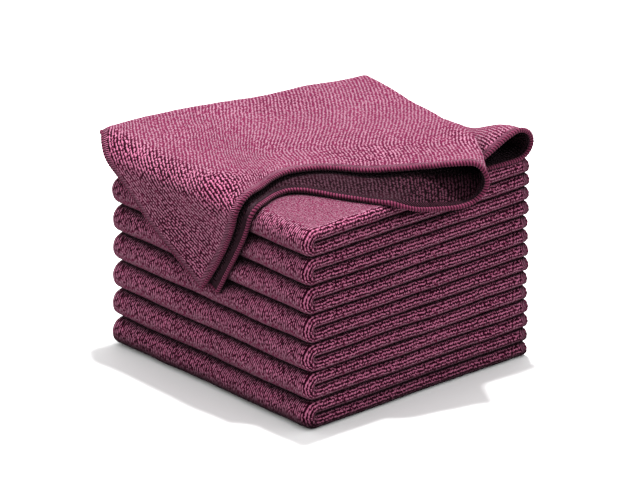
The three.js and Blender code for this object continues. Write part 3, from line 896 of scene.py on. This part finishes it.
def thread_material(name):
    """Wound polyester overlock thread, with its fine twist."""
    material, tree, shader = new_material(name)
    flat = tree.nodes.new("ShaderNodeUVMap")
    flat.uv_map = "flat_cloth"
    where = tree.nodes.new("ShaderNodeTexCoord")
    shade = place_group(tree, SHADE)
    tree.links.new(where.outputs["Object"], shade.inputs["Place"])
    parts = tree.nodes.new("ShaderNodeSeparateXYZ")
    tree.links.new(flat.outputs["UV"], parts.inputs[0])
    turn = calculate(tree, "MULTIPLY", parts.outputs["X"], math.pi / (HEM_STITCH_PITCH * MM))
    round_rim = calculate(tree, "MULTIPLY", parts.outputs["Y"], 0.5 / (ROPE_RADIUS * MM))
    ridge = calculate(tree, "ABSOLUTE", calculate(tree, "SINE", calculate(
        tree, "ADD", turn, round_rim)))
    strands = calculate(tree, "SINE", calculate(tree, "MULTIPLY", calculate(
        tree, "SUBTRACT", parts.outputs["X"], calculate(
            tree, "MULTIPLY", parts.outputs["Y"], STRAND_SLOPE)), 2 * math.pi / STRAND_PITCH))
    strands = calculate(tree, "MULTIPLY_ADD", strands, 0.5, 0.5)
    fuzz = noise(tree, where.outputs["Object"], THREAD_FUZZ_SCALE, 2.0, 0.6)
    height = calculate(tree, "MULTIPLY_ADD", strands, STRAND_RELIEF, calculate(
        tree, "MULTIPLY_ADD", fuzz, FUZZ_RELIEF, calculate(
            tree, "MULTIPLY", ridge, RIDGE_RELIEF)))
    # Painted shade and highlight: the thread is darker in the grooves between its turns and lighter
    # on their ridges and strands.
    lit = calculate(tree, "MULTIPLY", ramp_between(tree, ridge, *RIDGE_RANGE), calculate(
        tree, "MULTIPLY_ADD", shade.outputs["Shade"], THREAD_SHADE_SHARE,
        THREAD_SHADE_OFFSET))
    lit = calculate(tree, "MULTIPLY_ADD", strands, STRAND_LIGHTNESS, lit)
    low = colour_mix(tree, ramp_between(tree, lit, *THREAD_BODY_RANGE), DEEP_PAINTED_SHADE, THREAD_BODY)
    colour = colour_mix(tree, ramp_between(tree, lit, *THREAD_BRIGHT_RANGE), low, THREAD_TIP)
    tree.links.new(painted_crevice_shade(tree, colour), shader.inputs["Base Color"])
    tree.links.new(ramp_between(tree, ridge, 0.0, 1.0, *THREAD_ROUGHNESS), shader.inputs["Roughness"])
    bump = tree.nodes.new("ShaderNodeBump")
    bump.inputs["Strength"].default_value = 0.8
    bump.inputs["Distance"].default_value = THREAD_DEPTH
    tree.links.new(height, bump.inputs["Height"])
    tree.links.new(bump.outputs[0], shader.inputs["Normal"])
    set_cloth_gloss(shader, *THREAD_SHEEN)
    return material


# ------------------------------------------------------------------ the towels

TERRY = terry_material("terry_cloth", CLOTH_LENGTH, CLOTH_WIDTH)
THREAD = thread_material("overlock_thread")

u_places = runs((INNER_PANEL, 44), (LEFT_ARC, 7), (MIDDLE_PANEL, 58), (RIGHT_ARC, 10),
                (OUTER_PANEL, 58))
v_places = runs((ARM_LENGTH, 54), (WRAP_ARC, 14), (ARM_LENGTH, 54))


def folded_towel(number):
    middle_height = (number - 1) * TOWEL_PITCH + FOLDED_HEIGHT / 2
    u, v = np.meshgrid(u_places, v_places)
    # Cloth and hem draw from the same seed, so both shift alike.
    field = np.random.default_rng(FOLDED_SEED + number).integers(1 << 30)

    def settle(place):
        shift = softness(place[..., 0], place[..., 1], place[..., 2],
                         np.random.default_rng(field))
        shift[..., 2] *= PRESSED_HEIGHT_SHARE
        return sag(place + shift)

    place = folded_place(u, v, middle_height)[0]
    cloth = grid_piece(f"towel_{number}_terry", settle(place))
    lay_pattern(cloth, np.stack([u, v], axis=-1))
    finish_sheet(cloth, VISIBLE_THICKNESS)
    cloth.data.materials.append(TERRY)

    # The hem's middle line runs round the flat cloth, with round corners, and folds with it.
    hem_out = FOLDED_HEM_OUT
    corner = np.linspace(0, math.pi / 2, 6)
    arc = np.stack([np.cos(corner), np.sin(corner)], axis=-1) * hem_out
    length, width = CLOTH_LENGTH, CLOTH_WIDTH
    rim = np.concatenate([
        arc @ np.array([[-1, 0], [0, -1]]),
        np.stack([u_places[1:-1], np.full(len(u_places) - 2, -hem_out)], axis=-1),
        (arc @ np.array([[0, -1], [1, 0]])) + [length, 0],
        np.stack([np.full(len(v_places) - 2, length + hem_out), v_places[1:-1]], axis=-1),
        arc + [length, width],
        np.stack([u_places[1:-1][::-1], np.full(len(u_places) - 2, width + hem_out)], axis=-1),
        (arc @ np.array([[0, 1], [-1, 0]])) + [0, width],
        np.stack([np.full(len(v_places) - 2, -hem_out), v_places[1:-1][::-1]], axis=-1)])
    place, out = folded_place(rim[:, 0], rim[:, 1], middle_height)
    hem = stitched_hem(f"towel_{number}_overlock", settle(place), out, **FOLDED_HEM)
    hem.data.materials.append(THREAD)
    return cloth, hem


def cloth_runs(rows, axis, whole):
    """Distance along the cloth at each point, from the nearer hem on either side."""
    steps = np.linalg.norm(np.diff(rows, axis=axis), axis=-1)
    start = np.zeros_like(np.take(rows, [0], axis=axis)[..., 0])
    run = np.concatenate([start, np.cumsum(steps, axis=axis)], axis=axis)
    total = np.take(run, [-1], axis=axis)
    place = np.arange(rows.shape[axis])
    place = place[:, None] if axis == 0 else place[None, :]
    turn = UPPER_ROWS + TURN_ROWS if axis == 0 else rows.shape[1] // 2
    return np.where(place <= turn, run, whole - total + run)


def mark_loose_pile(cloth):
    """Marks the whole cloth as lying loose, for its pile."""
    spread = cloth.data.attributes.new("loose_pile", "FLOAT", "POINT")
    spread.data.foreach_set("value", np.ones(len(cloth.data.vertices)))


def mark_painted_fold_shade(cloth, shape):
    """Marks the side of the draped cloth that faces into the fold, where little light comes, for
    painted shade in its colour.
    """
    count = shape[0] * shape[1]
    places = np.empty(len(cloth.data.vertices) * 3, dtype=np.float32)
    cloth.data.vertices.foreach_get("co", places)
    heights = places.reshape(-1, 3)[:, 2]
    probe = (UPPER_ROWS // 2) * shape[1] + FLAT_COLUMNS // 3
    first_inside = heights[probe] < heights[probe + count]
    share = np.zeros(len(cloth.data.vertices), dtype=np.float32)
    chosen = slice(0, count) if first_inside else slice(count, 2 * count)
    share[chosen] = 1.0
    mark = cloth.data.attributes.new("painted_fold_shade", "FLOAT", "POINT")
    mark.data.foreach_set("value", share)


def draped_towel():
    rows = draped_rows()
    gauge = cloth_gauge(rows)
    shift = softness(rows[..., 0], rows[..., 1], rows[..., 2], np.random.default_rng(DRAPED_SEED))
    rows = sag(rows + shift * DRAPED_UNEVENNESS)
    normals = grid_normals(rows)
    cloth = grid_piece("draped_towel_terry", rows)
    uu = cloth_runs(rows, 1, CLOTH_LENGTH)
    vv = cloth_runs(rows, 0, CLOTH_WIDTH)
    lay_pattern(cloth, np.stack([uu, vv], axis=-1))
    finish_sheet(cloth, VISIBLE_THICKNESS, gauge)
    mark_painted_fold_shade(cloth, rows.shape[:2])
    mark_loose_pile(cloth)
    cloth.data.materials.append(TERRY)
    rim, facing = rim_of(rows), rim_of(normals)
    ring = np.vstack([rim[-1:], rim, rim[:1]])
    along = ring[2:] - ring[:-2]
    out = np.cross(along, facing)
    out /= np.linalg.norm(out, axis=-1, keepdims=True)
    middle = rows[rows.shape[0] // 4, FLAT_COLUMNS // 2]
    if np.dot(out[5], rim[5] - middle) < 0:
        out = -out
    hem = stitched_hem(
        "draped_towel_overlock", rim + DRAPED_HEM_OUT * out, facing, **DRAPED_HEM)
    hem.data.materials.append(THREAD)
    return cloth, hem


for number in range(1, STACKED_TOWELS + 1):
    terry, overlock = folded_towel(number)
    body = f"towel_{number}"
    for piece, node, slot in ((terry, f"{body}_cloth", "terry_cloth"),
                              (overlock, f"{body}_hem", "overlock_thread")):
        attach(piece, body)
        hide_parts(node)

terry, overlock = draped_towel()
for piece, node, slot in ((terry, "draped_towel_cloth", "terry_cloth"),
                          (overlock, "draped_towel_hem", "overlock_thread")):
    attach(piece, "draped_towel")
    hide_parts(node)

# ------------------------------------------------------------------ stage, light and camera

# The floor shows white, and throws back only a little light.
FLOOR_SIZE = 30
FLOOR_WHITE = (0.9, 0.9, 0.9)
FLOOR_THROWN_BACK = (0.35, 0.35, 0.35)
WORLD_STRENGTH = 1.15

clear_selection()
bpy.ops.mesh.primitive_plane_add(size=FLOOR_SIZE, location=(0, 0, 0))
floor = bpy.context.active_object
floor.name = "floor"
floor_material, floor_tree, floor_shader = new_material("white_floor")
seen = floor_tree.nodes.new("ShaderNodeLightPath")
floor_colour = colour_mix(
    floor_tree, seen.outputs["Is Camera Ray"], FLOOR_THROWN_BACK, FLOOR_WHITE)
floor_tree.links.new(floor_colour, floor_shader.inputs["Base Color"])
floor_shader.inputs["Roughness"].default_value = 0.9
floor_shader.inputs["Specular IOR Level"].default_value = 0.1
floor.data.materials.append(floor_material)

world = bpy.context.scene.world
if world is None:
    world = bpy.data.worlds.new("studio")
bpy.context.scene.world = world
world.use_nodes = True
sky = world.node_tree.nodes["Background"]
sky.inputs["Color"].default_value = (1, 1, 1, 1)
sky.inputs["Strength"].default_value = WORLD_STRENGTH

VIEW_AZIMUTH = 48.8
VIEW_ELEVATION = 22.4
VIEW_AIM = Vector((0, 0, 80.5 * MM))
VIEW_WIDTH = 430.7 * MM
LENS = 500.0
SENSOR = 36.0
FAR_CLIP = 50
# One small, soft lamp high up behind the stack: metres and watts.
LAMP_AZIMUTH = 224.0
LAMP_ELEVATION = 82.5
LAMP_DISTANCE = 2.5
LAMP_SIZE = 0.20
LAMP_POWER = 108.0


def direction(azimuth, elevation):
    """Unit vector toward a place seen from the object, with the azimuth counted from -Y."""
    a, e = math.radians(azimuth), math.radians(elevation)
    return Vector((math.sin(a) * math.cos(e), -math.cos(a) * math.cos(e), math.sin(e)))


def aim(thing, target):
    thing.rotation_euler = (target - thing.location).to_track_quat("-Z", "Y").to_euler()


def soft_light(name, azimuth, elevation, distance, size, power):
    data = bpy.data.lights.new(name, "AREA")
    data.shape = "DISK"
    data.size = size
    data.energy = power
    light = bpy.data.objects.new(name, data)
    bpy.context.scene.collection.objects.link(light)
    light.location = VIEW_AIM + distance * direction(azimuth, elevation)
    aim(light, VIEW_AIM)


soft_light("overhead_softbox", LAMP_AZIMUTH, LAMP_ELEVATION, LAMP_DISTANCE, LAMP_SIZE,
           LAMP_POWER)

camera_data = bpy.data.cameras.new("camera")
camera_data.lens = LENS
camera_data.sensor_width = SENSOR
camera_data.clip_end = FAR_CLIP
camera = bpy.data.objects.new("camera", camera_data)
bpy.context.scene.collection.objects.link(camera)
reach = VIEW_WIDTH * LENS / SENSOR
camera.location = VIEW_AIM + reach * direction(VIEW_AZIMUTH, VIEW_ELEVATION)
aim(camera, VIEW_AIM)
bpy.context.scene.camera = camera
bpy.context.scene.view_settings.view_transform = "Standard"
